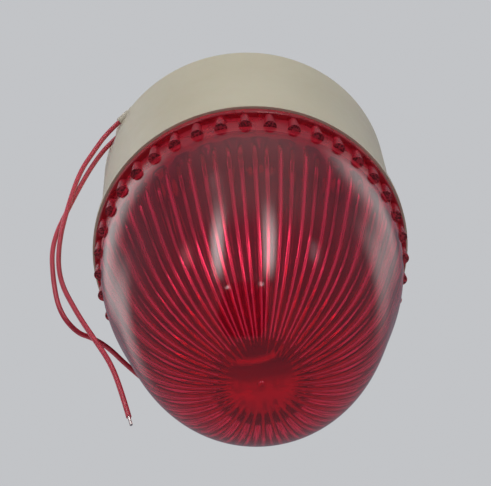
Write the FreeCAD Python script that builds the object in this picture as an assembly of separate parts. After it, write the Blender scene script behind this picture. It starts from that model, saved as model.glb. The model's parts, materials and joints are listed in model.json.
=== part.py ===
import FreeCAD, Part
import math
import os

from FreeCAD import Vector

# Alarm siren with a flashing beacon, for a ceiling.
# Millimetres, +Z up. The origin is the centre of the mounting face, and the lens points down.

# --- Driving dimensions -----------------------------------------------------------------------
BASE_HEIGHT = 51.0          # mounting face to flange face
BACK_RADIUS = 46.0          # cup radius at the mounting face
FRONT_RADIUS = 45.8         # cup radius above the flange
FLANGE_RADIUS = 47.5
FLANGE_THICKNESS = 2.6
WALL = 2.6
BACK_WALL = 2.8

COLLAR_OUTER = 40.5         # threaded collar that the lens screws on
COLLAR_INNER = 38.5
COLLAR_DROP = 8.0           # how far the collar stands below the flange face
COLLAR_BEVEL_WIDTH = 1.4    # on the inside of its free end
COLLAR_BEVEL_HEIGHT = 3.4

THREAD_STARTS = 4
THREAD_LEAD = 20.0          # travel per turn
LUG_SPAN = 21.0
LUG_THICKNESS = 1.5
BASE_LUG_OUTER = 41.9
BASE_LUG_DROP = 5.6
LENS_LUG_INNER = 41.0
LUG_GAP = 0.35

LENS_WALL = 2.2
LENS_SKIRT_INNER = 42.7
LENS_RIM_RADIUS = 46.8
LENS_RIM_THICKNESS = 2.4
LENS_FACE_GAP = 0.1
LENS_HEIGHT = 76.9
LENS_SKIRT_OUTER = 45.0      # just below the rim
LENS_STEP_DROP = 11.0        # where the inside narrows to the dome

TOOTH_COUNT = 40
TOOTH_PHASE = 6.57
TOOTH_CENTRE_RADIUS = 44.95
TOOTH_RIM_RADIUS = 1.35
TOOTH_END_RADIUS = 1.9
TOOTH_END_DROP = 9.0

RIB_COUNT = 36
RIB_PHASE = 2.57
RIB_SPAN = 4.6               # degrees, a little under half the pitch
RIB_HEIGHT = 0.8
RIB_INNER_RADIUS = 14.3
RIB_START = 2.0              # below the end of the skirt

GROOVE_OUTER = 45.7
GROOVE_INNER = 42.9
GROOVE_DEPTH = 1.4
GASKET_THICKNESS = 1.1
GASKET_CLEARANCE = 0.3

CEILING_HOLE_SPACING = 68.0
CEILING_HOLE_RADIUS = 2.2
ACCESS_NOTCH_RADIUS = 4.8

BOARD_THICKNESS = 1.6
BOARD_RADIUS = 37.8
DRIVER_BOARD_TOP = -22.0
LAMP_BOARD_TOP = -51.0
PILLAR_CIRCLE = 32.0
PILLAR_RADIUS = 3.0
STUD_RADIUS = 1.4
STUD_CLEARANCE = 0.1
SCREW_HEAD_RADIUS = 2.7

WIRE_DIAMETER = 1.5
CORE_DIAMETER = 0.8
TIP_LENGTH = 2.8
GROMMET_AZIMUTH = 208.0     # about +Z from +X
GROMMET_WIDTH = 15.2
GROMMET_DEPTH = 6.0
GROMMET_INNER = 42.0
NUB_LENGTH = 4.3
NUB_RADIUS = 1.25
CHANNEL_FLOOR = 43.4        # wire B lies in a channel in the rim
CHANNEL_START = -2.0
LEAD_BEND = 2.6
LEAD_DEPTH = -7.5

SHROUD_RADIUS = 14.0
SHROUD_WALL = 1.2
SHROUD_HEIGHT = 41.0
LAMP_X = -2.0               # the lamp stands a little off the middle of its board
LAMP_Y = 3.0
HOLDER_WIDTH = 13.5
HOLDER_HEIGHT = 9.0

TUBE_PITCH = 9.0             # between the two legs of the flash tube
TUBE_RADIUS = 2.0
TUBE_BORE = 1.3
TUBE_STRAIGHT = 16.0

SOUNDER_RADIUS = 19.0
SOUNDER_BOTTOM = -16.0
SOUNDER_X = 4.0
SOUNDER_Y = 3.0
PIEZO_TOP = -9.0
CERAMIC_RADIUS = 11.0

SLOT_COUNT = 5               # sound slots in the side of the housing
SLOT_WIDTH = 2.4
SLOT_TOP = -12.0
SLOT_BOTTOM = -28.0
SLOT_STEP = 9.0              # degrees
SLOT_AZIMUTH = 90.0

LEAD_SLOPE = math.degrees(math.atan(THREAD_LEAD / (2 * math.pi * (COLLAR_OUTER + LENS_SKIRT_INNER) / 2)))
FLANGE_Z = -BASE_HEIGHT
LAMP_BOARD_BOTTOM = LAMP_BOARD_TOP - BOARD_THICKNESS
DRIVER_BOARD_BOTTOM = DRIVER_BOARD_TOP - BOARD_THICKNESS
TUBE_TOP = LAMP_BOARD_BOTTOM - HOLDER_HEIGHT
INSIDE_RADIUS = FRONT_RADIUS - WALL
DOWN = Vector(0, 0, -1)
Z_AXIS = Vector(0, 0, 1)
ORIGIN = Vector(0, 0, 0)


# --- Building helpers -------------------------------------------------------------------------
def at(angle, radius, z=0.0):
    """Point at an angle in degrees about +Z."""
    turn = math.radians(angle)
    return Vector(radius * math.cos(turn), radius * math.sin(turn), z)


def disc(radius, top, bottom, x=0.0, y=0.0):
    return Part.makeCylinder(radius, top - bottom, Vector(x, y, bottom))


def ring(outer, inner, top, bottom, x=0.0, y=0.0):
    return disc(outer, top, bottom, x, y).cut(disc(inner, top + 1, bottom - 1, x, y))


def block(x, y, size_x, size_y, top, bottom):
    corner = Vector(x - size_x / 2, y - size_y / 2, bottom)
    return Part.makeBox(size_x, size_y, top - bottom, corner)


def turned(shape, angle):
    copy = shape.copy()
    copy.rotate(ORIGIN, Z_AXIS, angle)
    return copy


def around(shape, count, start=0.0):
    """Copies of a shape spaced evenly about +Z."""
    return [turned(shape, start + 360.0 * step / count) for step in range(count)]


def revolved(outline):
    """Solid of revolution from (radius, z) points."""
    points = [Vector(radius, 0, z) for radius, z in outline]
    face = Part.Face(Part.makePolygon(points + points[:1]))
    return face.revolve(ORIGIN, Z_AXIS, 360)


def rolled_edges(can, radius):
    """Rounds both ends of a cylinder."""
    return can.makeFillet(radius, [edge for edge in can.Edges if edge.Curve.TypeId == "Part::GeomCircle"])


def joined(first, others):
    return first.fuse(others).removeSplitter()


def export(name, shape):
    pieces = shape if isinstance(shape, list) else [shape]
    solids = [solid for piece in pieces for solid in piece.Solids]
    for solid in solids:
        if not solid.isValid():
            print("not valid:", name)
    result = solids[0] if len(solids) == 1 else Part.makeCompound(solids)
    result.exportStep("parts/%s.step" % name)
    print("%-22s solids %2d  volume %9.1f" % (name, len(solids), sum(s.Volume for s in solids)))


def bent_tube(name, route, diameter):
    """Round tube along straight runs that tangent arcs join; each arc is as large as its runs allow."""
    edges = []
    radii = []
    previous = route[0]
    for index in range(1, len(route) - 1):
        point = route[index]
        before = route[index - 1] - point
        after = route[index + 1] - point
        half_turn = (math.pi - before.getAngle(after)) / 2
        shorter = min(before.Length, after.Length)
        trim = 0.45 * shorter
        radius = trim / math.tan(half_turn)
        radii.append(radius)
        start = point + before.normalize() * trim
        end = point + after.normalize() * trim
        inward = (before + after).normalize()
        middle = point + inward * (math.hypot(radius, trim) - radius)
        edges.append(Part.LineSegment(previous, start).toShape())
        edges.append(Part.Arc(start, middle, end).toShape())
        previous = end
    edges.append(Part.LineSegment(previous, route[-1]).toShape())
    path = Part.Wire(edges)
    length = path.Length
    section = Part.Wire(Part.makeCircle(diameter / 2, route[0], route[1] - route[0]))
    tube = path.makePipeShell([section], True, True)
    expected = math.pi * diameter ** 2 / 4 * length
    print("%s length %.1f, volume ratio %.4f, radii %s" % (
        name, length, tube.Volume / expected, [round(radius, 1) for radius in radii]))
    return tube


# --- Housing ----------------------------------------------------------------------------------
def thread_lug(outer, inner, drop):
    """One inclined lug of the interrupted thread, centred on +X."""
    z = FLANGE_Z - drop
    lug = block(0, 0, 20, LUG_SPAN, LUG_THICKNESS / 2, -LUG_THICKNESS / 2)
    lug.rotate(ORIGIN, Vector(1, 0, 0), LEAD_SLOPE)
    lug.translate(Vector((outer + inner) / 2, 0, z))
    return lug.common(ring(outer, inner, z + 6, z - 6))


def base_housing():
    web_top = FLANGE_Z + GROOVE_DEPTH + 2.8
    shell = revolved([
        (0, 0),
        (BACK_RADIUS - 1.0, 0),
        (BACK_RADIUS - 0.3, -0.3),
        (BACK_RADIUS, -1.0),
        (FRONT_RADIUS, FLANGE_Z + FLANGE_THICKNESS + 2.2),
        (FRONT_RADIUS + 0.5, FLANGE_Z + FLANGE_THICKNESS + 0.8),
        (FLANGE_RADIUS, FLANGE_Z + FLANGE_THICKNESS),
        (FLANGE_RADIUS, FLANGE_Z),
        (GROOVE_OUTER, FLANGE_Z),
        (GROOVE_OUTER, FLANGE_Z + GROOVE_DEPTH),
        (GROOVE_INNER, FLANGE_Z + GROOVE_DEPTH),
        (GROOVE_INNER, FLANGE_Z),
        (COLLAR_OUTER, FLANGE_Z),
        (COLLAR_OUTER, FLANGE_Z - COLLAR_DROP),
        (COLLAR_INNER + COLLAR_BEVEL_WIDTH, FLANGE_Z - COLLAR_DROP),
        (COLLAR_INNER, FLANGE_Z - COLLAR_DROP + COLLAR_BEVEL_HEIGHT),
        (COLLAR_INNER, web_top),
        (INSIDE_RADIUS, web_top),
        (INSIDE_RADIUS, -BACK_WALL),
        (0, -BACK_WALL),
    ])
    lugs = around(thread_lug(BASE_LUG_OUTER, COLLAR_OUTER - 0.5, BASE_LUG_DROP), THREAD_STARTS)
    post = disc(4.0, -BACK_WALL + 0.5, DRIVER_BOARD_TOP, PILLAR_CIRCLE)
    posts = around(post, 4, 45)
    pilot = disc(STUD_RADIUS + STUD_CLEARANCE, DRIVER_BOARD_TOP + 9, DRIVER_BOARD_TOP - 1, PILLAR_CIRCLE)
    hole_boss = disc(5.0, -BACK_WALL + 0.5, -BACK_WALL - 1.5, CEILING_HOLE_SPACING / 2)
    bosses = around(hole_boss, 2)
    shell = joined(shell, lugs + posts + bosses)

    ceiling_hole = disc(CEILING_HOLE_RADIUS, 1, -BACK_WALL - 3, CEILING_HOLE_SPACING / 2)
    cuts = around(pilot, 4, 45) + around(ceiling_hole, 2)
    cuts.append(grommet_notch(0.0))
    slot = block(BACK_RADIUS, 0, 12, SLOT_WIDTH, SLOT_TOP, SLOT_BOTTOM)
    for step in range(SLOT_COUNT):
        cuts.append(turned(slot, SLOT_AZIMUTH + SLOT_STEP * (step - (SLOT_COUNT - 1) / 2)))
    return shell.cut(cuts)


def grommet_notch(clearance):
    """Block of space that the grommet fills in the back rim."""
    length = 8.0
    notch = block(GROMMET_INNER + clearance + length / 2, 0, length, GROMMET_WIDTH - 2 * clearance,
                  0, clearance - GROMMET_DEPTH)
    return turned(notch, GROMMET_AZIMUTH)


def wire_grommet():
    body = grommet_notch(0.05).common(disc(BACK_RADIUS, 0, -GROMMET_DEPTH))
    lip = block(INSIDE_RADIUS - 1.0, 0, 4, GROMMET_WIDTH + 2.4, -BACK_WALL - 0.05, -GROMMET_DEPTH - 1)
    lip = turned(lip, GROMMET_AZIMUTH).common(ring(INSIDE_RADIUS - 0.1, INSIDE_RADIUS - 1.6, 0, -10))
    start, following = [Vector(*point) for point in WIRE_A_ROUTE[:2]]
    inward = (start - following).normalize()
    nub = Part.makeCylinder(NUB_RADIUS, NUB_LENGTH, start, inward)
    channel = block(CHANNEL_FLOOR + 3, CHANNEL_START - 5, 6, 10, 1, -10)
    bridge = turned(block(GROMMET_INNER + 0.6, 0, 1.6, 12, -BACK_WALL - 0.05, -GROMMET_DEPTH + 0.05),
                    GROMMET_AZIMUTH)
    return joined(body.cut(turned(channel, GROMMET_AZIMUTH)), [lip, nub, bridge])


# --- Lens -------------------------------------------------------------------------------------
# Outside of the dome: (radius, drop below the flange face), from the end of the skirt to the apex.
DOME_OUTLINE = [
    (44.6, 14.0),
    (43.0, 24.0),
    (39.8, 35.5),
    (36.0, 48.0),
    (30.8, 59.2),
    (23.1, 68.4),
    (14.7, 73.8),
    (0.0, LENS_HEIGHT),
]
DOME_START_SLOPE = Vector(-0.09, 0, -1)


def dome_curve(inset):
    """Smooth meridian of the dome, moved inwards from the outer surface."""
    curve = Part.BSplineCurve()
    points = [Vector(radius, 0, FLANGE_Z - drop) for radius, drop in DOME_OUTLINE]
    curve.interpolate(Points=points, InitialTangent=DOME_START_SLOPE, FinalTangent=Vector(-1, 0, 0))
    if inset == 0:
        return curve.toShape()
    count = 14
    moved = []
    for step in range(count + 1):
        where = curve.FirstParameter + (curve.LastParameter - curve.FirstParameter) * step / count
        tangent = curve.tangent(where)[0]
        moved.append(curve.value(where) + Vector(tangent.z, 0, -tangent.x) * inset)
    moved[-1].x = 0.0
    inner = Part.BSplineCurve()
    inner.interpolate(Points=moved, InitialTangent=DOME_START_SLOPE, FinalTangent=Vector(-1, 0, 0))
    return inner.toShape()


def closed_face(curve_a, curve_b):
    """Flat face between two meridians, closed by straight lines."""
    start_a, end_a = curve_a.firstVertex().Point, curve_a.lastVertex().Point
    start_b, end_b = curve_b.firstVertex().Point, curve_b.lastVertex().Point
    edges = [curve_a, Part.makeLine(end_a, end_b), curve_b, Part.makeLine(start_b, start_a)]
    return Part.Face(Part.Wire(Part.__sortEdges__(edges)))


def lens():
    face_z = FLANGE_Z - LENS_FACE_GAP
    skirt_end = FLANGE_Z - DOME_OUTLINE[0][1]
    dome = closed_face(dome_curve(0), dome_curve(LENS_WALL)).revolve(ORIGIN, Z_AXIS, 360)
    inner_end = dome_curve(LENS_WALL).firstVertex().Point
    skirt = revolved([
        (LENS_SKIRT_INNER, face_z),
        (LENS_RIM_RADIUS, face_z),
        (LENS_RIM_RADIUS, face_z - LENS_RIM_THICKNESS),
        (LENS_SKIRT_OUTER, face_z - LENS_RIM_THICKNESS),
        (DOME_OUTLINE[0][0], skirt_end),
        (inner_end.x, inner_end.z),
        (LENS_SKIRT_INNER, FLANGE_Z - LENS_STEP_DROP),
    ])
    tooth_top = face_z - LENS_RIM_THICKNESS + 0.4
    tooth = Part.makeCone(TOOTH_RIM_RADIUS, TOOTH_END_RADIUS, tooth_top - (FLANGE_Z - TOOTH_END_DROP),
                          Vector(TOOTH_CENTRE_RADIUS, 0, tooth_top), DOWN)
    tooth = tooth.cut(disc(LENS_SKIRT_INNER + 0.8, 0, -200))
    teeth = around(tooth, TOOTH_COUNT, TOOTH_PHASE)
    lug_drop = BASE_LUG_DROP - LUG_THICKNESS - LUG_GAP
    lugs = around(thread_lug(LENS_SKIRT_INNER + 0.4, LENS_LUG_INNER, lug_drop), THREAD_STARTS)
    rib_face = closed_face(dome_curve(LENS_WALL - 0.5), dome_curve(LENS_WALL + RIB_HEIGHT))
    rib = turned(rib_face.revolve(ORIGIN, Z_AXIS, RIB_SPAN), -RIB_SPAN / 2)
    rib = rib.common(ring(60, RIB_INNER_RADIUS, skirt_end - RIB_START, -200))
    ribs = around(rib, RIB_COUNT, RIB_PHASE)
    return joined(dome, [skirt] + teeth + lugs + ribs)


def lens_gasket():
    top = FLANGE_Z - 0.05 + GASKET_THICKNESS
    return ring(GROOVE_OUTER - GASKET_CLEARANCE, GROOVE_INNER + GASKET_CLEARANCE, top, FLANGE_Z - 0.05)


# --- Wires ------------------------------------------------------------------------------------
# Each route starts at the grommet. Wire A ends below the dome, and wire B beside it.
WIRE_A_ROUTE = [
    (-40.2, -23.9, -3.2),
    (-44.3, -20.9, -5.4),
    (-48.2, -17.6, -12.0),
    (-52.3, -14.7, -21.8),
    (-55.0, -11.2, -38.0),
    (-57.4, -5.4, -52.6),
    (-56.7, -0.5, -67.1),
    (-50.4, 2.2, -84.0),
    (-44.6, 3.9, -97.0),
    (-40.3, 5.0, -107.0),
    (-37.3, 7.4, -117.0),
    (-35.0, 10.5, -126.0),
]
WIRE_B_ROUTE = [
    (-40.4, -19.3, -3.2),
    (-44.2, -16.2, -4.4),
    (-47.3, -14.6, -11.0),
    (-50.4, -13.6, -22.2),
    (-54.9, -9.7, -36.1),
    (-59.5, -5.0, -52.4),
    (-58.4, -0.4, -67.0),
    (-56.0, 4.2, -78.5),
    (-51.0, 9.0, -82.5),
    (-46.8, 13.5, -77.5),
    (-42.4, 20.3, -71.8),
    (-37.8, 27.3, -69.5),
    (-33.0, 33.0, -68.2),
]


def wire(name, route):
    return bent_tube(name, [Vector(*point) for point in route], WIRE_DIAMETER)


def wire_tip(route):
    before, end = [Vector(*point) for point in route[-2:]]
    return Part.makeCylinder(CORE_DIAMETER / 2, TIP_LENGTH, end, (end - before).normalize())


def inner_lead(name, route, terminal_x, terminal_y):
    """Lead moulded into the grommet, from the wire's exit to its clamp in the terminal block."""
    start, following = [Vector(*point) for point in route[:2]]
    bend = start + (start - following).normalize() * LEAD_BEND
    points = [
        start,
        bend,
        Vector(bend.x * 0.82, bend.y * 0.82, LEAD_DEPTH),
        Vector(terminal_x, terminal_y, -9.0),
        Vector(terminal_x, terminal_y, -14.0),
    ]
    return bent_tube(name, points, WIRE_DIAMETER)


# --- Boards and their parts -------------------------------------------------------------------
def board(top):
    """Round board with four pillar holes and two notches that give access to the ceiling screws."""
    plate = disc(BOARD_RADIUS, top, top - BOARD_THICKNESS)
    hole = disc(STUD_RADIUS + STUD_CLEARANCE, top + 1, top - BOARD_THICKNESS - 1, PILLAR_CIRCLE)
    notch = disc(ACCESS_NOTCH_RADIUS, top + 1, top - BOARD_THICKNESS - 1, CEILING_HOLE_SPACING / 2 + 1)
    return plate.cut(around(hole, 4, 45) + around(notch, 2))


def pillars():
    body = disc(PILLAR_RADIUS, DRIVER_BOARD_BOTTOM, LAMP_BOARD_TOP, PILLAR_CIRCLE)
    stud = disc(STUD_RADIUS, DRIVER_BOARD_TOP + 8, DRIVER_BOARD_BOTTOM - 0.5, PILLAR_CIRCLE)
    bore = disc(STUD_RADIUS + STUD_CLEARANCE, LAMP_BOARD_TOP + 8, LAMP_BOARD_TOP - 1, PILLAR_CIRCLE)
    return around(joined(body, [stud]).cut(bore), 4, 45)


def lamp_board_screws():
    shank = disc(STUD_RADIUS, LAMP_BOARD_TOP + 7, LAMP_BOARD_BOTTOM - 0.5, PILLAR_CIRCLE)
    head = disc(SCREW_HEAD_RADIUS, LAMP_BOARD_BOTTOM, LAMP_BOARD_BOTTOM - 1.8, PILLAR_CIRCLE)
    slot = block(PILLAR_CIRCLE, 0, 8, 0.8, LAMP_BOARD_BOTTOM - 1.0, LAMP_BOARD_BOTTOM - 3)
    return around(joined(shank, [head]).cut(slot), 4, 45)


def lamp_shroud():
    base = LAMP_BOARD_BOTTOM
    tip = FLANGE_Z - SHROUD_HEIGHT
    outer = disc(SHROUD_RADIUS, base, tip, LAMP_X, LAMP_Y)
    outer = outer.makeFillet(4.0, [edge for edge in outer.Edges if abs(edge.BoundBox.ZMax - tip) < 0.01])
    inner = disc(SHROUD_RADIUS - SHROUD_WALL, base + 1, tip + SHROUD_WALL, LAMP_X, LAMP_Y)
    inner = inner.makeFillet(
        2.8, [edge for edge in inner.Edges if abs(edge.BoundBox.ZMax - tip - SHROUD_WALL) < 0.01])
    foot = ring(SHROUD_RADIUS + 1.5, SHROUD_RADIUS - SHROUD_WALL, base, base - 1.5, LAMP_X, LAMP_Y)
    return joined(outer, [foot]).cut(inner)


def tube_holder():
    holder = block(LAMP_X, LAMP_Y, HOLDER_WIDTH, HOLDER_WIDTH, LAMP_BOARD_BOTTOM, TUBE_TOP)
    legs = [disc(1.0, 0, -200, LAMP_X + side * TUBE_PITCH / 2, LAMP_Y) for side in (-1, 1)]
    return holder.cut(legs)


def u_shape(radius):
    """Half-ring on two straight legs, hanging down from the tube holder."""
    bend_z = TUBE_TOP - TUBE_STRAIGHT
    legs = [disc(radius, TUBE_TOP, bend_z, LAMP_X + side * TUBE_PITCH / 2, LAMP_Y) for side in (-1, 1)]
    section = Part.Face(Part.Wire(Part.makeCircle(radius, Vector(LAMP_X + TUBE_PITCH / 2, LAMP_Y, bend_z),
                                                  Z_AXIS)))
    bend = section.revolve(Vector(LAMP_X, LAMP_Y, bend_z), Vector(0, 1, 0), 180)
    return joined(legs[0], [legs[1], bend])


def flash_tube():
    return u_shape(TUBE_RADIUS).cut(u_shape(TUBE_BORE))


def tube_electrodes():
    pins = []
    for side in (-1, 1):
        x = LAMP_X + side * TUBE_PITCH / 2
        pin = disc(0.5, LAMP_BOARD_BOTTOM, TUBE_TOP - 3.0, x, LAMP_Y)
        cap = disc(1.0, TUBE_TOP - 2.0, TUBE_TOP - 6.0, x, LAMP_Y)
        pins.append(joined(pin, [cap]))
    return pins


def trigger_band():
    bands = []
    for side in (-1, 1):
        for step in range(4):
            z = TUBE_TOP - 4.0 - 3.2 * step
            bands.append(ring(TUBE_RADIUS + 0.45, TUBE_RADIUS + 0.02, z, z - 0.4,
                              LAMP_X + side * TUBE_PITCH / 2, LAMP_Y))
    return bands


def resistor(x, y, z, angle, below):
    """Resistor body with its two legs reaching up to the underside of a board."""
    body = Part.makeCylinder(1.2, 6.4, Vector(-3.2, 0, 0), Vector(1, 0, 0))
    body = rolled_edges(body, 0.4)
    parts = []
    for side in (-1, 1):
        parts.append(Part.makeCylinder(0.3, 2.1, Vector(side * 3.0, 0, 0), Vector(side, 0, 0)))
        parts.append(Part.makeCylinder(0.36, below + 0.5, Vector(side * 5.1, 0, -0.5), Z_AXIS))
    body = joined(body, parts)
    body.rotate(ORIGIN, Z_AXIS, angle)
    body.translate(Vector(x, y, z - below))
    return body


def lamp_components():
    places = [(-22, -12, 60), (-24, 12, 110), (21, 16, 130), (2, -28, 0)]
    return [resistor(x, y, LAMP_BOARD_BOTTOM, angle, 2.0) for x, y, angle in places]


def flash_capacitor():
    can = Part.makeCylinder(6.0, 22.0, Vector(12, -22, LAMP_BOARD_BOTTOM - 6.1), Vector(0.72, 0.69, 0))
    return rolled_edges(can, 0.6)


def trigger_coil():
    return block(-14.5, -20.0, 9.0, 9.0, LAMP_BOARD_BOTTOM, LAMP_BOARD_BOTTOM - 8.0)


def board_link():
    pins = []
    for step in range(4):
        pins.append(disc(0.4, DRIVER_BOARD_BOTTOM, LAMP_BOARD_TOP, -4 + 2.54 * step, 30))
    return pins


def terminal_block():
    body = block(-20, -10, 12, 8, -12, DRIVER_BOARD_TOP)
    cuts = []
    for y_step in (-1, 1):
        cuts.append(disc(WIRE_DIAMETER / 2 + 0.1, -11, -14.2, -23, -10 + 2.2 * y_step))
        cuts.append(disc(1.5, -11, -15.0, -17, -10 + 2.2 * y_step))
    return body.cut(cuts)


def terminal_screws():
    screws = []
    for y_step in (-1, 1):
        screw = disc(1.4, -12.5, -15.0, -17, -10 + 2.2 * y_step)
        screws.append(screw.cut(block(-17, -10 + 2.2 * y_step, 4, 0.5, -12, -13.2)))
    return screws


def transformer_core():
    outer = block(8, 6, 16, 13, DRIVER_BOARD_BOTTOM - 1.0, DRIVER_BOARD_BOTTOM - 15.0)
    window = block(8, 6, 10, 20, DRIVER_BOARD_BOTTOM - 4.0, DRIVER_BOARD_BOTTOM - 12.0)
    leg = block(8, 6, 4, 13, DRIVER_BOARD_BOTTOM - 3.9, DRIVER_BOARD_BOTTOM - 12.1)
    foot = block(8, 6, 10, 8, DRIVER_BOARD_BOTTOM, DRIVER_BOARD_BOTTOM - 1.0)
    return joined(outer.cut(window), [leg, foot])


def transformer_winding():
    top = DRIVER_BOARD_BOTTOM - 4.2
    bottom = DRIVER_BOARD_BOTTOM - 11.8
    return block(8, 6, 9.6, 17.0, top, bottom).cut(block(8, 6, 4.2, 13.4, top + 1, bottom - 1))


def smoothing_capacitor():
    can = disc(5.0, DRIVER_BOARD_BOTTOM, DRIVER_BOARD_BOTTOM - 16.0, -14, -8)
    return rolled_edges(can, 0.6)


def siren_chip():
    body = block(-10, 10, 9.5, 6.4, DRIVER_BOARD_BOTTOM - 0.8, DRIVER_BOARD_BOTTOM - 4.2)
    legs = []
    for x_step in range(4):
        for side in (-1, 1):
            x = -10 + (x_step - 1.5) * 2.54
            legs.append(block(x, 10 + side * 3.5, 0.6, 0.8, DRIVER_BOARD_BOTTOM, DRIVER_BOARD_BOTTOM - 2.6))
    return joined(body, legs)


def switching_transistor():
    body = block(8, -16, 10, 4.5, DRIVER_BOARD_BOTTOM - 5.0, DRIVER_BOARD_BOTTOM - 14.0)
    tab = block(8, -14.4, 10, 1.3, DRIVER_BOARD_BOTTOM - 13.5, DRIVER_BOARD_BOTTOM - 20.0)
    tab = tab.cut(Part.makeCylinder(1.8, 10, Vector(8, -20, DRIVER_BOARD_BOTTOM - 17.0), Vector(0, 1, 0)))
    legs = [block(8 + 2.54 * step, -16, 0.8, 0.5, DRIVER_BOARD_BOTTOM, DRIVER_BOARD_BOTTOM - 5.5)
            for step in (-1, 0, 1)]
    return joined(body, [tab] + legs)


def driver_resistors():
    places = [(-2, -22, 0), (22, 1, 90), (-4, 22, 0), (21, -11, 90)]
    return [resistor(x, y, DRIVER_BOARD_BOTTOM, angle, 2.0) for x, y, angle in places]


# --- Sounder ----------------------------------------------------------------------------------
def sounder_chamber():
    cup = disc(SOUNDER_RADIUS, -BACK_WALL, SOUNDER_BOTTOM, SOUNDER_X, SOUNDER_Y)
    upper = disc(SOUNDER_RADIUS - 3.5, -BACK_WALL - 1.5, PIEZO_TOP - 1, SOUNDER_X, SOUNDER_Y)
    lower = disc(SOUNDER_RADIUS - 1.5, PIEZO_TOP, SOUNDER_BOTTOM - 1, SOUNDER_X, SOUNDER_Y)
    return cup.cut([upper, lower])


def sounder_cover():
    radius = SOUNDER_RADIUS - 1.55
    plate = disc(radius, PIEZO_TOP - 0.35, SOUNDER_BOTTOM, SOUNDER_X, SOUNDER_Y)
    hollow = disc(radius - 2.0, PIEZO_TOP, SOUNDER_BOTTOM + 1.5, SOUNDER_X, SOUNDER_Y)
    hole = disc(3.5, 0, -30, SOUNDER_X, SOUNDER_Y)
    return plate.cut([hollow, hole])


def piezo_plate():
    return disc(SOUNDER_RADIUS - 1.6, PIEZO_TOP - 0.02, PIEZO_TOP - 0.3, SOUNDER_X, SOUNDER_Y)


def piezo_ceramic():
    return disc(CERAMIC_RADIUS, PIEZO_TOP - 0.3, PIEZO_TOP - 0.55, SOUNDER_X, SOUNDER_Y)


def main():
    os.makedirs("parts", exist_ok=True)
    export("base_housing", base_housing())
    export("wire_grommet", wire_grommet())
    export("lens", lens())
    export("lens_gasket", lens_gasket())
    export("wire_a", wire("wire_a", WIRE_A_ROUTE))
    export("wire_b", wire("wire_b", WIRE_B_ROUTE))
    export("wire_tip_a", wire_tip(WIRE_A_ROUTE))
    export("wire_tip_b", wire_tip(WIRE_B_ROUTE))
    export("inner_lead_a", inner_lead("inner_lead_a", WIRE_A_ROUTE, -23.0, -12.2))
    export("inner_lead_b", inner_lead("inner_lead_b", WIRE_B_ROUTE, -23.0, -7.8))
    export("driver_board", board(DRIVER_BOARD_TOP))
    export("lamp_board", board(LAMP_BOARD_TOP))
    export("board_pillars", pillars())
    export("lamp_board_screws", lamp_board_screws())
    export("lamp_shroud", lamp_shroud())
    export("tube_holder", tube_holder())
    export("flash_tube", flash_tube())
    export("tube_electrodes", tube_electrodes())
    export("trigger_band", trigger_band())
    export("flash_capacitor", flash_capacitor())
    export("trigger_coil", trigger_coil())
    export("lamp_components", lamp_components())
    export("board_link", board_link())
    export("terminal_block", terminal_block())
    export("terminal_screws", terminal_screws())
    export("transformer_core", transformer_core())
    export("transformer_winding", transformer_winding())
    export("smoothing_capacitor", smoothing_capacitor())
    export("siren_chip", siren_chip())
    export("switching_transistor", switching_transistor())
    export("driver_resistors", driver_resistors())
    export("sounder_chamber", sounder_chamber())
    export("sounder_cover", sounder_cover())
    export("piezo_plate", piezo_plate())
    export("piezo_ceramic", piezo_ceramic())


main()
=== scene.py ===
import bpy
import json
import math
import numpy as np
from mathutils import Matrix, Vector


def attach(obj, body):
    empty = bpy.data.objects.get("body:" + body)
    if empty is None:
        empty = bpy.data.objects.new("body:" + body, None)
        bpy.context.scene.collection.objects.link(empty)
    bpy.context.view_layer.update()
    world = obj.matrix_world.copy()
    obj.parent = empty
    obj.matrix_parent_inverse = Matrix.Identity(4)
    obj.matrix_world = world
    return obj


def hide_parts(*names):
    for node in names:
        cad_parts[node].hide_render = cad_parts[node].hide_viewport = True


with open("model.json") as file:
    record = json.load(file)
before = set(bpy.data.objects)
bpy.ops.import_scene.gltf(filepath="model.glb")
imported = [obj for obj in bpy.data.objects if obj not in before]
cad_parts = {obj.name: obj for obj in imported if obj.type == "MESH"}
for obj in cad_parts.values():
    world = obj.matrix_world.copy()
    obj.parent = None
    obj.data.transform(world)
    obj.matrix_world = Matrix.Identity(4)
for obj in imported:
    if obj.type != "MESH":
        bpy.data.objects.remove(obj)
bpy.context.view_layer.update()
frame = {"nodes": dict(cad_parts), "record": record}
NODES = frame["nodes"]

MM = 0.001
BASE_HEIGHT = 51.0 * MM                 # mounting face to flange face
STUDIO_CENTRE = Vector((0, 0, -0.07))   # the point that every light panel faces


# --- Camera -----------------------------------------------------------------------------------
CAMERA_TILT = math.radians(26.1)        # between the siren's axis and the line of sight
CAMERA_ROLL = math.radians(4.6)
FLANGE_SEEN_AT = Vector((1.54, 3.08, 512.5)) * MM       # its centre: right, down, away from the camera
SENSOR_WIDTH = 36.0
FOCAL_LENGTH = 124.6


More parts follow.
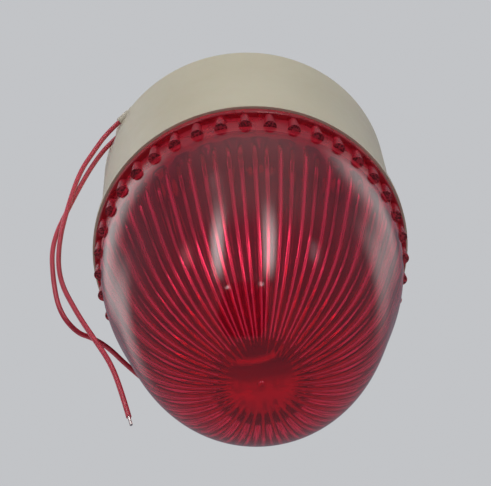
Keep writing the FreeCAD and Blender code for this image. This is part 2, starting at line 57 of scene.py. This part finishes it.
def place_camera():
    """Looks up at the hanging siren; returns the view's right, up and backward directions."""
    down_axis = Vector((math.sin(CAMERA_TILT) * math.sin(CAMERA_ROLL),
                        math.sin(CAMERA_TILT) * math.cos(CAMERA_ROLL), -math.cos(CAMERA_TILT)))
    z_axis = -down_axis
    across = Vector((1, 0, 0))
    x_axis = (across - across.dot(down_axis) * down_axis).normalized()
    y_axis = z_axis.cross(x_axis)
    to_camera = Matrix((x_axis, y_axis, z_axis)).transposed()
    offset = FLANGE_SEEN_AT + BASE_HEIGHT * z_axis
    to_world = to_camera.transposed()
    right, down, away = (Vector(row) for row in to_camera)
    camera = put_in_scene("camera", bpy.data.cameras.new("camera"))
    camera.matrix_world = Matrix.Translation(-(to_world @ offset)) @ Matrix(
        (right, -down, -away)).transposed().to_4x4()
    camera.data.sensor_width = SENSOR_WIDTH
    camera.data.lens = FOCAL_LENGTH
    camera.data.clip_start = 0.05
    camera.data.clip_end = 20.0
    bpy.context.scene.camera = camera
    return right, -down, -away


# --- Shader helpers ---------------------------------------------------------------------------
class Shader:
    """Small wrapper that builds one procedural material."""

    def __init__(self, name):
        self.material = bpy.data.materials.new(name)
        self.material.use_nodes = True
        self.tree = self.material.node_tree
        self.bsdf = self.tree.nodes["Principled BSDF"]

    def colour(self, rgb, socket="Base Color"):
        self.bsdf.inputs[socket].default_value = (*rgb, 1)

    def set(self, **values):
        for key, value in values.items():
            self.bsdf.inputs[key.replace("_", " ")].default_value = value

    def node(self, kind, **values):
        made = self.tree.nodes.new(kind)
        for key, value in values.items():
            if hasattr(made, key):
                setattr(made, key, value)
            else:
                made.inputs[key.replace("_", " ")].default_value = value
        return made

    def link(self, output, target):
        self.tree.links.new(output, target)

    def noise(self, scale, detail=3.0, roughness=0.5):
        """Noise fixed to the object, as a 0 to 1 factor."""
        coordinates = self.node("ShaderNodeTexCoord")
        texture = self.node("ShaderNodeTexNoise", Scale=scale, Detail=detail, Roughness=roughness)
        self.link(coordinates.outputs["Object"], texture.inputs["Vector"])
        return texture.outputs["Fac"]

    def spread(self, factor, low, high, start=0.3, end=0.7):
        """Maps a value's range from start to end onto a range of numbers."""
        ramp = self.node("ShaderNodeMapRange", From_Min=start, From_Max=end, To_Min=low, To_Max=high)
        self.link(factor, ramp.inputs["Value"])
        return ramp.outputs["Result"]

    def mix(self, factor, low, high):
        """Mixes two colours by a factor."""
        mixer = self.node("ShaderNodeMix", data_type="RGBA")
        mixer.inputs["A"].default_value = (*low, 1)
        mixer.inputs["B"].default_value = (*high, 1)
        self.link(factor, mixer.inputs["Factor"])
        return mixer.outputs["Result"]

    def bump(self, height, strength, distance):
        bump = self.node("ShaderNodeBump", Strength=strength, Distance=distance)
        self.link(height, bump.inputs["Height"])
        self.link(bump.outputs["Normal"], self.bsdf.inputs["Normal"])


LIT_TIP_Z = -0.126                   # the lens has its bright tip colour, painted light, below this height
SHADED_SKIRT_Z = -0.085                 # and its deeper skirt colour, painted shade, above this one


def moulded(name, low, high, roughness, grain=900.0, grain_depth=0.15, **extra):
    """Moulded plastic: two close tones, a fine grain and slightly uneven gloss."""
    shader = Shader(name)
    shader.set(**extra)
    tone = shader.spread(shader.noise(35.0, 4.0), 0.0, 1.0)
    shader.link(shader.mix(tone, low, high), shader.bsdf.inputs["Base Color"])
    gloss = shader.spread(shader.noise(220.0, 3.0), roughness * 0.85, roughness * 1.15)
    shader.link(gloss, shader.bsdf.inputs["Roughness"])
    shader.bump(shader.noise(grain, 2.0), grain_depth, 0.00005)
    return shader.material


def plated(name, low, high, roughness):
    """Bright metal: moulded's tones and uneven gloss with a finer grain."""
    return moulded(name, low, high, roughness, grain=1500.0, grain_depth=0.1, Metallic=1.0)


def clear(name, colour, roughness, ior, transmission=1.0, skirt=None):
    """Clear, faintly uneven plastic or glass; a skirt colour paints light and shade into it: bright at the
    lens's tip, deepening upwards to the skirt.
    """
    shader = Shader(name)
    shader.set(Transmission_Weight=transmission, IOR=ior)
    shader.colour(colour)
    gloss = shader.spread(shader.noise(120.0, 3.0), roughness * 0.7, roughness * 1.3)
    shader.link(gloss, shader.bsdf.inputs["Roughness"])
    shader.bump(shader.noise(60.0, 2.0), 0.03, 0.0004)
    # painted light and shade: the base colour runs by height from the bright tip colour to the deeper skirt
    # colour
    if skirt:
        place = shader.node("ShaderNodeTexCoord")
        split = shader.node("ShaderNodeSeparateXYZ")
        shader.link(place.outputs["Object"], split.inputs["Vector"])
        height = shader.spread(split.outputs["Z"], 0.0, 1.0, LIT_TIP_Z, SHADED_SKIRT_Z)
        shader.link(shader.mix(height, colour, skirt), shader.bsdf.inputs["Base Color"])
    return shader.material


def knurled(name, low, high):
    """Rough tooth end: bumped pits in the surface, with painted shade darkening the pits."""
    shader = Shader(name)
    shader.set(Transmission_Weight=0.35, IOR=1.57, Roughness=0.45)
    coordinates = shader.node("ShaderNodeTexCoord")
    pits = shader.node("ShaderNodeTexVoronoi", Scale=1700.0)
    shader.link(coordinates.outputs["Object"], pits.inputs["Vector"])
    # painted shade: the low colour darkens the pits' centres, the high colour is the red of the tooth end
    tone = shader.spread(pits.outputs["Distance"], 0.0, 1.0)
    shader.link(shader.mix(tone, low, high), shader.bsdf.inputs["Base Color"])
    shader.bump(pits.outputs["Distance"], 0.6, 0.0002)
    return shader.material


def build_materials():
    """One material for each slot of the record, and the two that only the lens uses."""
    return {
        "cream_abs": moulded("cream_abs", (0.62, 0.585, 0.425), (0.66, 0.625, 0.465), 0.36,
                             Coat_Weight=0.1, Subsurface_Weight=0.06, Subsurface_Scale=0.002),
        "cream_vinyl": moulded("cream_vinyl", (0.58, 0.54, 0.42), (0.63, 0.59, 0.47), 0.5),
        # red_lens: painted light as brighter red at the tip, painted shade as deeper red towards the skirt
        "red_lens": clear("red_lens", (0.98, 0.035, 0.10), 0.09, 1.57, transmission=0.91,
                          skirt=(0.78, 0.022, 0.085)),
        "red_skirt": clear("red_skirt", (0.92, 0.05, 0.10), 0.28, 1.57, transmission=0.80),
        # red_knurl: its dark first colour is painted shade in the pits
        "red_knurl": knurled("red_knurl", (0.10, 0.006, 0.012), (0.75, 0.07, 0.11)),
        "seal_rubber": moulded("seal_rubber", (0.55, 0.53, 0.47), (0.60, 0.58, 0.52), 0.6),
        "red_vinyl": moulded("red_vinyl", (0.50, 0.035, 0.06), (0.60, 0.05, 0.08), 0.33,
                             Coat_Weight=0.2, Subsurface_Weight=0.08, Subsurface_Scale=0.0008),
        "tinned_copper": plated("tinned_copper", (0.70, 0.69, 0.66), (0.82, 0.81, 0.78), 0.28),
        "green_board": moulded("green_board", (0.01, 0.08, 0.03), (0.02, 0.12, 0.05), 0.4),
        "black_board": moulded("black_board", (0.010, 0.008, 0.008), (0.02, 0.015, 0.015), 0.45),
        "nickel": plated("nickel", (0.55, 0.54, 0.5), (0.66, 0.65, 0.61), 0.25),
        "zinc_steel": plated("zinc_steel", (0.5, 0.51, 0.53), (0.6, 0.62, 0.64), 0.3),
        "clear_plastic": clear("clear_plastic", (0.97, 0.98, 0.98), 0.03, 1.49),
        "black_resin": moulded("black_resin", (0.012, 0.01, 0.01), (0.02, 0.017, 0.017), 0.5),
        "flash_glass": clear("flash_glass", (0.97, 0.98, 0.99), 0.02, 1.47),
        "capacitor_sleeve": moulded("capacitor_sleeve", (0.02, 0.008, 0.012), (0.04, 0.015, 0.02), 0.3),
        "resistor_body": moulded("resistor_body", (0.5, 0.36, 0.2), (0.56, 0.42, 0.26), 0.45),
        "brass": plated("brass", (0.72, 0.5, 0.2), (0.8, 0.6, 0.28), 0.3),
        "terminal_green": moulded("terminal_green", (0.02, 0.2, 0.07), (0.03, 0.26, 0.1), 0.45),
        "ferrite": moulded("ferrite", (0.02, 0.02, 0.022), (0.04, 0.04, 0.042), 0.6),
        "yellow_tape": moulded("yellow_tape", (0.7, 0.5, 0.06), (0.8, 0.6, 0.1), 0.35),
        "black_abs": moulded("black_abs", (0.012, 0.012, 0.012), (0.022, 0.022, 0.022), 0.45),
        "piezo_white": moulded("piezo_white", (0.7, 0.69, 0.65), (0.78, 0.77, 0.73), 0.5),
    }


# --- Mesh helpers -----------------------------------------------------------------------------
def put_in_scene(name, data):
    made = bpy.data.objects.new(name, data)
    bpy.context.scene.collection.objects.link(made)
    return made


def add_object(name, data, body, material):
    """A visible piece on a body, with its material."""
    piece = put_in_scene(name, data)
    data.materials.append(material)
    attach(piece, body)
    return piece


def smooth_profile(points, start_slope, end_slope, count):
    """Cubic spline through (radius, z) points by chord length, with given end directions."""
    points = np.array(points, float)
    steps = np.linalg.norm(np.diff(points, axis=0), axis=1)
    knots = np.concatenate([[0], np.cumsum(steps)])
    size = len(points)
    system = np.zeros((size, size))
    target = np.zeros((size, 2))
    system[0, 0] = system[-1, -1] = 1
    target[0] = np.array(start_slope) / np.linalg.norm(start_slope)
    target[-1] = np.array(end_slope) / np.linalg.norm(end_slope)
    for i in range(1, size - 1):
        before, after = steps[i - 1], steps[i]
        system[i, i - 1:i + 2] = (1 / before, 2 / before + 2 / after, 1 / after)
        target[i] = 3 * ((points[i] - points[i - 1]) / before ** 2 + (points[i + 1] - points[i]) / after ** 2)
    slopes = np.linalg.solve(system, target)
    made = []
    for where in np.linspace(0, knots[-1], count):
        i = min(np.searchsorted(knots, where, side="right") - 1, size - 2)
        h = steps[i]
        t = (where - knots[i]) / h
        made.append((2 * t ** 3 - 3 * t ** 2 + 1) * points[i] + (t ** 3 - 2 * t ** 2 + t) * h * slopes[i]
                    + (3 * t ** 2 - 2 * t ** 3) * points[i + 1] + (t ** 3 - t ** 2) * h * slopes[i + 1])
    return np.array(made)


# --- Lens -------------------------------------------------------------------------------------
# A drop is a distance below the flange face.
TOOTH_COUNT = 40
TOOTH_PITCH = 2 * math.pi / TOOTH_COUNT
TOOTH_PHASE = math.radians(6.57)
TOOTH_CENTRE = 44.95 * MM
TOOTH_START_RADIUS = 1.35 * MM
TOOTH_END_RADIUS = 1.9 * MM
TOOTH_END_DROP = 9.0 * MM
RIM_RADIUS = 46.8 * MM
RIM_DROP = 2.4 * MM
RIM_FACE_DROP = 0.1 * MM
RIM_BEVEL = 0.25 * MM
SKIRT_RADIUS = 45.0 * MM
SKIRT_TAPER = 0.1 * MM                  # over the length of the teeth
SKIRT_NECK = 0.12 * MM                  # how far it has drawn in at the tooth ends
SKIRT_END_DROP = 11.5 * MM              # frosted above, polished below
SKIRT_INNER = 42.7 * MM
SKIRT_INNER_END_DROP = 11.0 * MM
WALL = 2.2 * MM
DOME_OUTLINE = [(44.6, 14.0), (43.0, 24.0), (39.8, 35.5), (36.0, 48.0), (30.8, 59.2), (23.1, 68.4),
                (14.7, 73.8), (0.0, 76.9)]
DOME_ROWS = 56
TOOTH_ROWS = 8
TOOTH_STEPS = 10
GAP_STEPS = 8
RIB_COUNT = 36
RIB_PITCH = 2 * math.pi / RIB_COUNT
RIB_PHASE = math.radians(2.57)
RIB_SPAN = math.radians(4.6)
RIB_HEIGHT = 1.25 * MM
RIB_START_DROP = 14.6 * MM
RIB_START_FADE = 4.5 * MM
RIB_END_RADIUS = 9.0 * MM
RIB_END_FADE = 7.0 * MM
SIDE_SPAN = math.radians(3.0)
SIDE_STEPS = 8
GATE_RADIUS = 0.9 * MM                  # moulding mark at the tip
GATE_HEIGHT = 0.3 * MM
GATE_CLEARANCE = 0.2 * MM               # between the dome's last ring and the mark
SMALLEST_INNER_RING = 0.3 * MM
SHARP_LENS_EDGE = math.radians(38)
SHARP_NODE_EDGE = math.radians(32)


def outer_row(radius, drop, kind):
    """One ring of the outer surface; kind is plain, tooth, or face, which is a tooth's flat end."""
    along = min(max((drop - RIM_DROP) / (TOOTH_END_DROP - RIM_DROP), 0), 1)
    bulge = TOOTH_START_RADIUS + (TOOTH_END_RADIUS - TOOTH_START_RADIUS) * along
    edge = math.asin(bulge / TOOTH_CENTRE)
    ring = []
    for tooth in range(TOOTH_COUNT):
        centre = TOOTH_PHASE + tooth * TOOTH_PITCH
        for step in range(TOOTH_STEPS + 1):
            turn = -math.pi / 2 + math.pi * step / TOOTH_STEPS
            angle = math.asin(bulge * math.sin(turn) / TOOTH_CENTRE)
            reach = TOOTH_CENTRE * math.cos(angle) + bulge * abs(math.cos(turn))
            height = max(reach, radius) if kind == "tooth" else radius
            ring.append((centre + angle, height, drop))
        for step in range(1, GAP_STEPS):
            angle = edge + (TOOTH_PITCH - 2 * edge) * step / GAP_STEPS
            ring.append((centre + angle, radius, drop))
    return ring


def rib_profile():
    """(angle, share of full height) across one pitch: a flat-topped rib with rounded, sloping sides."""
    side = []
    for step in range(SIDE_STEPS + 1):
        share = step / SIDE_STEPS
        side.append((RIB_SPAN / 2 + SIDE_SPAN * (share - 0.5), 0.5 + 0.5 * math.cos(math.pi * share)))
    rising = [(-angle, share) for angle, share in side[::-1]]
    return rising + [(0.0, 1.0)] + side + [(RIB_PITCH / 2, 0.0)]


def eased(value):
    """Smooth step from 0 to 1."""
    value = min(max(value, 0.0), 1.0)
    return value * value * (3 - 2 * value)


def outer_surface(dome):
    """Rings from the rim's top face down over the teeth and the dome to the gate mark."""
    rows = [outer_row(RIM_RADIUS - RIM_BEVEL, RIM_FACE_DROP, "plain"),
            outer_row(RIM_RADIUS, RIM_FACE_DROP + RIM_BEVEL, "plain"),
            outer_row(RIM_RADIUS, RIM_DROP - RIM_BEVEL, "plain"),
            outer_row(RIM_RADIUS - RIM_BEVEL, RIM_DROP, "plain")]
    for step in range(TOOTH_ROWS + 1):
        drop = RIM_DROP + (TOOTH_END_DROP - RIM_DROP) * step / TOOTH_ROWS
        rows.append(outer_row(SKIRT_RADIUS - SKIRT_TAPER * step / TOOTH_ROWS, drop, "tooth"))
    neck = SKIRT_RADIUS - SKIRT_NECK
    rows.append(outer_row(neck, TOOTH_END_DROP, "face"))
    for step in (1, 2, 3):
        drop = TOOTH_END_DROP + (dome[0][1] - TOOTH_END_DROP) * step / 4
        rows.append(outer_row(neck + (dome[0][0] - neck) * step / 4, drop, "plain"))
    for radius, drop in dome[:-1]:
        if radius > GATE_RADIUS + GATE_CLEARANCE:
            rows.append(outer_row(radius, drop, "plain"))
    apex_drop = dome[-1][1]
    rows.append(outer_row(GATE_RADIUS, apex_drop, "plain"))
    rows.append(outer_row(GATE_RADIUS * 0.8, apex_drop + GATE_HEIGHT * 0.8, "plain"))
    return rows


def inner_surface(dome):
    """Rings of the ribbed inside from the skirt down to the tip, and the drop of its lowest point."""
    tangent = np.gradient(dome, axis=0)
    tangent /= np.linalg.norm(tangent, axis=1)[:, None]
    normal = np.stack([-tangent[:, 1], tangent[:, 0]], axis=1)      # inwards
    normal[-1] = (0, -1)
    inner = dome + normal * WALL
    profile = rib_profile()

    def inner_row(radius, drop, lean, grow):
        """Inner ring; ribs stand along the inward normal and grow from nothing to full height."""
        ring = []
        for rib in range(RIB_COUNT):
            centre = RIB_PHASE + rib * RIB_PITCH
            for angle, share in profile:
                height = RIB_HEIGHT * share * grow
                ring.append((centre + angle, radius + lean[0] * height, drop + lean[1] * height))
        return ring

    rows = [inner_row(SKIRT_INNER, RIM_FACE_DROP, (0, 0), 0.0),
            inner_row(SKIRT_INNER, SKIRT_INNER_END_DROP, (-1, 0), 0.0)]
    for (radius, drop), lean in zip(inner[:-1], normal[:-1]):
        if radius < SMALLEST_INNER_RING:
            continue
        grow = eased((drop - RIB_START_DROP) / RIB_START_FADE)
        grow *= eased((radius - RIB_END_RADIUS) / RIB_END_FADE)
        rows.append(inner_row(radius, drop, lean, grow))
    return rows, inner[-1][1]


def build_lens(materials):
    """One closed shell: outer rings, inner rings back up to the rim, and a pole at each side of the tip."""
    dome = smooth_profile([(r * MM, d * MM) for r, d in DOME_OUTLINE], (-0.09, 1), (-1, 0), DOME_ROWS)
    rows = outer_surface(dome)
    inner_rows, inner_pole_drop = inner_surface(dome)
    vertices = []
    for row in rows + inner_rows[::-1]:
        vertices += [(r * math.cos(a), r * math.sin(a), -BASE_HEIGHT - d) for a, r, d in row]
    columns = len(rows[0])
    assert len(inner_rows[0]) == columns
    outer_pole = len(vertices)
    vertices.append((0, 0, -BASE_HEIGHT - dome[-1][1] - GATE_HEIGHT))
    inner_pole = len(vertices)
    vertices.append((0, 0, -BASE_HEIGHT - inner_pole_drop))
    faces = []

    def band(first, second):
        """Quads between two rings."""
        for column in range(columns):
            following = (column + 1) % columns
            faces.append((first * columns + following, first * columns + column,
                          second * columns + column, second * columns + following))

    outer_count, inner_count = len(rows), len(inner_rows)
    for row in range(outer_count - 1):
        band(row, row + 1)
    for row in range(outer_count, outer_count + inner_count - 1):
        band(row, row + 1)
    last_outer = (outer_count - 1) * columns
    first_inner = outer_count * columns
    for column in range(columns):
        following = (column + 1) % columns
        faces.append((last_outer + following, last_outer + column, outer_pole))
        faces.append((inner_pole, first_inner + column, first_inner + following))
    band(outer_count + inner_count - 1, 0)

    mesh = bpy.data.meshes.new("lens_body")
    mesh.from_pydata(vertices, [], faces)
    mesh.update()
    mesh.shade_smooth()
    mesh.set_sharp_from_angle(angle=SHARP_LENS_EDGE)
    piece = add_object("lens_body", mesh, "lens", materials["red_lens"])
    mesh.materials.append(materials["red_skirt"])
    mesh.materials.append(materials["red_knurl"])
    end_z = -BASE_HEIGHT - TOOTH_END_DROP
    skirt_z = -BASE_HEIGHT - SKIRT_END_DROP
    for face in mesh.polygons:
        if abs(face.center.z - end_z) < 0.02 * MM and face.area > 0 and abs(face.normal.z) > 0.9:
            face.material_index = 2
        elif face.center.z > skirt_z:
            face.material_index = 1
    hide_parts("lens")


# --- Wires ------------------------------------------------------------------------------------
# Routes in millimetres, from the grommet to the tip.
WIRE_DIAMETER = 1.5 * MM
WIRE_A_ROUTE = [
    (-40.2, -23.9, -3.2),
    (-44.3, -20.9, -5.4),
    (-48.2, -17.6, -12.0),
    (-52.3, -14.7, -21.8),
    (-55.0, -11.2, -38.0),
    (-57.4, -5.4, -52.6),
    (-56.7, -0.5, -67.1),
    (-50.4, 2.2, -84.0),
    (-44.6, 3.9, -97.0),
    (-40.3, 5.0, -107.0),
    (-37.3, 7.4, -117.0),
    (-35.0, 10.5, -126.0),
]
WIRE_B_ROUTE = [
    (-40.4, -19.3, -3.2),
    (-44.2, -16.2, -4.4),
    (-47.3, -14.6, -11.0),
    (-50.4, -13.6, -22.2),
    (-54.9, -9.7, -36.1),
    (-59.5, -5.0, -52.4),
    (-58.4, -0.4, -67.0),
    (-56.0, 4.2, -78.5),
    (-51.0, 9.0, -82.5),
    (-46.8, 13.5, -77.5),
    (-42.4, 20.3, -71.8),
    (-37.8, 27.3, -69.5),
    (-33.0, 33.0, -68.2),
]


def build_wire(name, route, material):
    """One flying lead on a smooth curve through the control points of its route."""
    curve = bpy.data.curves.new(name, "CURVE")
    curve.dimensions = "3D"
    spline = curve.splines.new("NURBS")
    spline.points.add(len(route) - 1)
    for point, place in zip(spline.points, route):
        point.co = (place[0] * MM, place[1] * MM, place[2] * MM, 1)
    spline.order_u = 3
    spline.use_endpoint_u = True
    curve.resolution_u = 16
    curve.bevel_depth = WIRE_DIAMETER / 2
    curve.bevel_resolution = 6
    curve.use_fill_caps = True
    piece = add_object(name, curve, "base", material)
    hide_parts(name.replace("lead", "wire"))
    piece.visible_glossy = False


# --- Stage ------------------------------------------------------------------------------------
FLOOR_HALF = 3.0
FLOOR_Z = -0.9


def one_face(name, corners, material):
    """A flat card of the studio; it isn't part of the object."""
    mesh = bpy.data.meshes.new(name)
    mesh.from_pydata([Vector(corner) for corner in corners], [], [tuple(range(len(corners)))])
    mesh.materials.append(material)
    made = put_in_scene(name, mesh)
    return made


def build_floor():
    shader = Shader("floor_paint")
    shader.set(Roughness=0.8, Emission_Strength=0.5)
    shader.colour((0.62, 0.63, 0.65), "Emission Color")
    shader.link(shader.mix(shader.noise(2.0), (0.72, 0.72, 0.72), (0.76, 0.76, 0.76)),
                shader.bsdf.inputs["Base Color"])
    corners = [(x * FLOOR_HALF, y * FLOOR_HALF, FLOOR_Z) for x, y in ((-1, -1), (1, -1), (1, 1), (-1, 1))]
    floor = one_face("floor", corners, shader.material)
    floor.visible_diffuse = False
    floor.visible_glossy = False
    floor.visible_transmission = False


def panel(name, low, high, width, material, reflected=True):
    """Light panel between two end points, facing the object; the camera doesn't see it.

    An unreflected one lights the object without showing in it.
    """
    low, high = Vector(low), Vector(high)
    along = high - low
    across = along.cross(STUDIO_CENTRE - (low + high) / 2).normalized() * width / 2
    made = one_face(name, [low - across, low + across, high + across, high - across], material)
    grid = made.data.uv_layers.new(name="UVMap")
    for corner, place in zip(grid.data, ((0, 0), (1, 0), (1, 1), (0, 1))):
        corner.uv = place
    made.visible_camera = False
    made.visible_glossy = reflected
    made.visible_transmission = reflected


def glow(name, strength, low_fade=0.45, high_fade=0.55, colour=(1, 1, 1)):
    """Emission that is strongest in the middle of a panel and fades to nothing at its edges."""
    shader = Shader(name)
    shader.tree.nodes.remove(shader.bsdf)
    place = shader.node("ShaderNodeTexCoord")
    split = shader.node("ShaderNodeSeparateXYZ")
    shader.link(place.outputs["UV"], split.inputs["Vector"])

    def ramp(source, start, end):
        made = shader.node("ShaderNodeMapRange", interpolation_type="SMOOTHSTEP",
                           From_Min=start, From_Max=end)
        shader.link(source, made.inputs["Value"])
        return made.outputs["Result"]

    def times(first, second):
        made = shader.node("ShaderNodeMath", operation="MULTIPLY")
        shader.link(first, made.inputs[0])
        shader.link(second, made.inputs[1])
        return made.outputs["Value"]

    across = times(ramp(split.outputs["X"], 0.0, 0.45), ramp(split.outputs["X"], 1.0, 0.55))
    along = times(ramp(split.outputs["Y"], 0.0, low_fade), ramp(split.outputs["Y"], 1.0, high_fade))
    light = shader.node("ShaderNodeEmission", Strength=strength)
    light.inputs["Color"].default_value = (*colour, 1)
    clear_edge = shader.node("ShaderNodeBsdfTransparent")
    blend = shader.node("ShaderNodeMixShader")
    shader.link(times(across, along), blend.inputs["Fac"])
    shader.link(clear_edge.outputs["BSDF"], blend.inputs[1])
    shader.link(light.outputs["Emission"], blend.inputs[2])
    shader.link(blend.outputs["Shader"], shader.tree.nodes["Material Output"].inputs["Surface"])
    return shader.material


def build_world():
    """Pale behind and through the object, and a dimmer soft grey where surfaces reflect it."""
    world = bpy.data.worlds.new("studio")
    world.use_nodes = True
    tree = world.node_tree
    pale = tree.nodes["Background"]
    pale.inputs["Color"].default_value = (0.54, 0.55, 0.57, 1)
    dim = tree.nodes.new("ShaderNodeBackground")
    dim.inputs["Color"].default_value = (0.185, 0.175, 0.205, 1)
    seen = tree.nodes.new("ShaderNodeLightPath")
    choice = tree.nodes.new("ShaderNodeMixShader")
    either = tree.nodes.new("ShaderNodeMath")
    either.operation = "MAXIMUM"
    tree.links.new(seen.outputs["Is Camera Ray"], either.inputs[0])
    tree.links.new(seen.outputs["Is Transmission Ray"], either.inputs[1])
    tree.links.new(either.outputs["Value"], choice.inputs["Fac"])
    tree.links.new(dim.outputs["Background"], choice.inputs[1])
    tree.links.new(pale.outputs["Background"], choice.inputs[2])
    tree.links.new(choice.outputs["Shader"], tree.nodes["World Output"].inputs["Surface"])
    bpy.context.scene.world = world


def build_dark_card():
    """Card that only reflections show: it stands for the unlit gap below the light strips."""
    corners = [(-0.348, -0.625, -0.411), (0.067, -0.68, -0.476), (0.118, -0.384, -0.767),
               (0.035, -0.182, -0.855), (-0.364, -0.146, -0.772), (-0.462, -0.304, -0.648)]
    paint = moulded("card_paint", (0.004, 0.004, 0.004), (0.006, 0.006, 0.006), 0.9)
    card = one_face("dark_card", corners, paint)
    card.visible_camera = False
    card.visible_diffuse = False
    card.visible_transmission = False
    card.visible_shadow = False


def build_lights(right, up, back):
    """Soft panels; those that the dome reflects are placed where the reflection has to fall."""
    strip = glow("strip_glow", 6.2, 0.35, 0.5)
    panel("strip_left", (-0.42, -0.62, -0.40), (-0.24, -0.66, 0.42), 0.17, strip)
    panel("strip_right", (0.12, -0.70, -0.50), (0.125, -0.74, 0.42), 0.17, strip)
    ends = glow("end_glow", 9.0)
    panel("strip_end_left", (-0.345, -0.567, -0.429), (-0.279, -0.577, -0.429), 0.04, ends)
    panel("strip_end_right", (0.004, -0.631, -0.465), (0.070, -0.629, -0.465), 0.04, ends)
    panel("spot_left", (-0.73, -0.59, -0.06), (-0.67, -0.56, 0.29), 0.22,
          glow("spot_left_glow", 2.2, colour=(1.0, 0.35, 0.40)))
    panel("spot_right", (0.66, -0.68, -0.13), (0.59, -0.67, 0.22), 0.20,
          glow("spot_right_glow", 1.3, colour=(1.0, 0.85, 0.95)))

    def around_view(side, rise, near):
        return STUDIO_CENTRE + right * side + up * rise + back * near

    side = glow("side_glow", 1.15, 0.45, 0.6)
    panel("side_left", around_view(-0.7, -0.6, -0.9), around_view(-0.7, 1.0, -0.9), 0.7, side)
    panel("side_right", around_view(0.8, -0.3, -0.85), around_view(0.8, 1.3, -0.85), 0.7, side)
    fill = glow("fill_glow", 7.5)
    for name, low, high in (("fill_left", (-0.95, -0.82, -0.15), (-0.92, -0.78, 0.55)),
                            ("fill_right", (0.93, -0.87, -0.20), (0.80, -0.93, 0.45)),
                            ("fill_back_left", (-0.80, 1.0, -0.15), (-0.70, 0.95, 0.60)),
                            ("fill_back_right", (0.80, 1.0, -0.15), (0.70, 0.95, 0.60))):
        panel(name, low, high, 0.7, fill, reflected=False)
    above = glow("above_glow", 0.5)
    panel("above", around_view(-0.9, 1.0, -0.25), around_view(0.9, 1.0, -0.25), 1.1, above)
    beneath = glow("beneath_glow", 1.6)
    panel("beneath", around_view(-0.8, -0.9, 0.1), around_view(0.8, -0.9, 0.1), 0.9, beneath,
          reflected=False)
    build_dark_card()


# --- Assembly ---------------------------------------------------------------------------------
def dress_frame(materials):
    """Gives every CAD node that stays visible its material and smooth shading."""
    for entry in frame["record"]["subparts"]:
        mesh = NODES[entry["node"]].data
        mesh.materials.clear()
        mesh.materials.append(materials[entry["material_slot"]])
        mesh.shade_smooth()
        mesh.set_sharp_from_angle(angle=SHARP_NODE_EDGE)


bpy.context.scene.view_settings.view_transform = "Standard"
right, up, back = place_camera()
materials = build_materials()
dress_frame(materials)
build_wire("lead_a", WIRE_A_ROUTE, materials["red_vinyl"])
build_wire("lead_b", WIRE_B_ROUTE, materials["red_vinyl"])
build_lens(materials)
build_floor()
build_world()
build_lights(right, up, back)
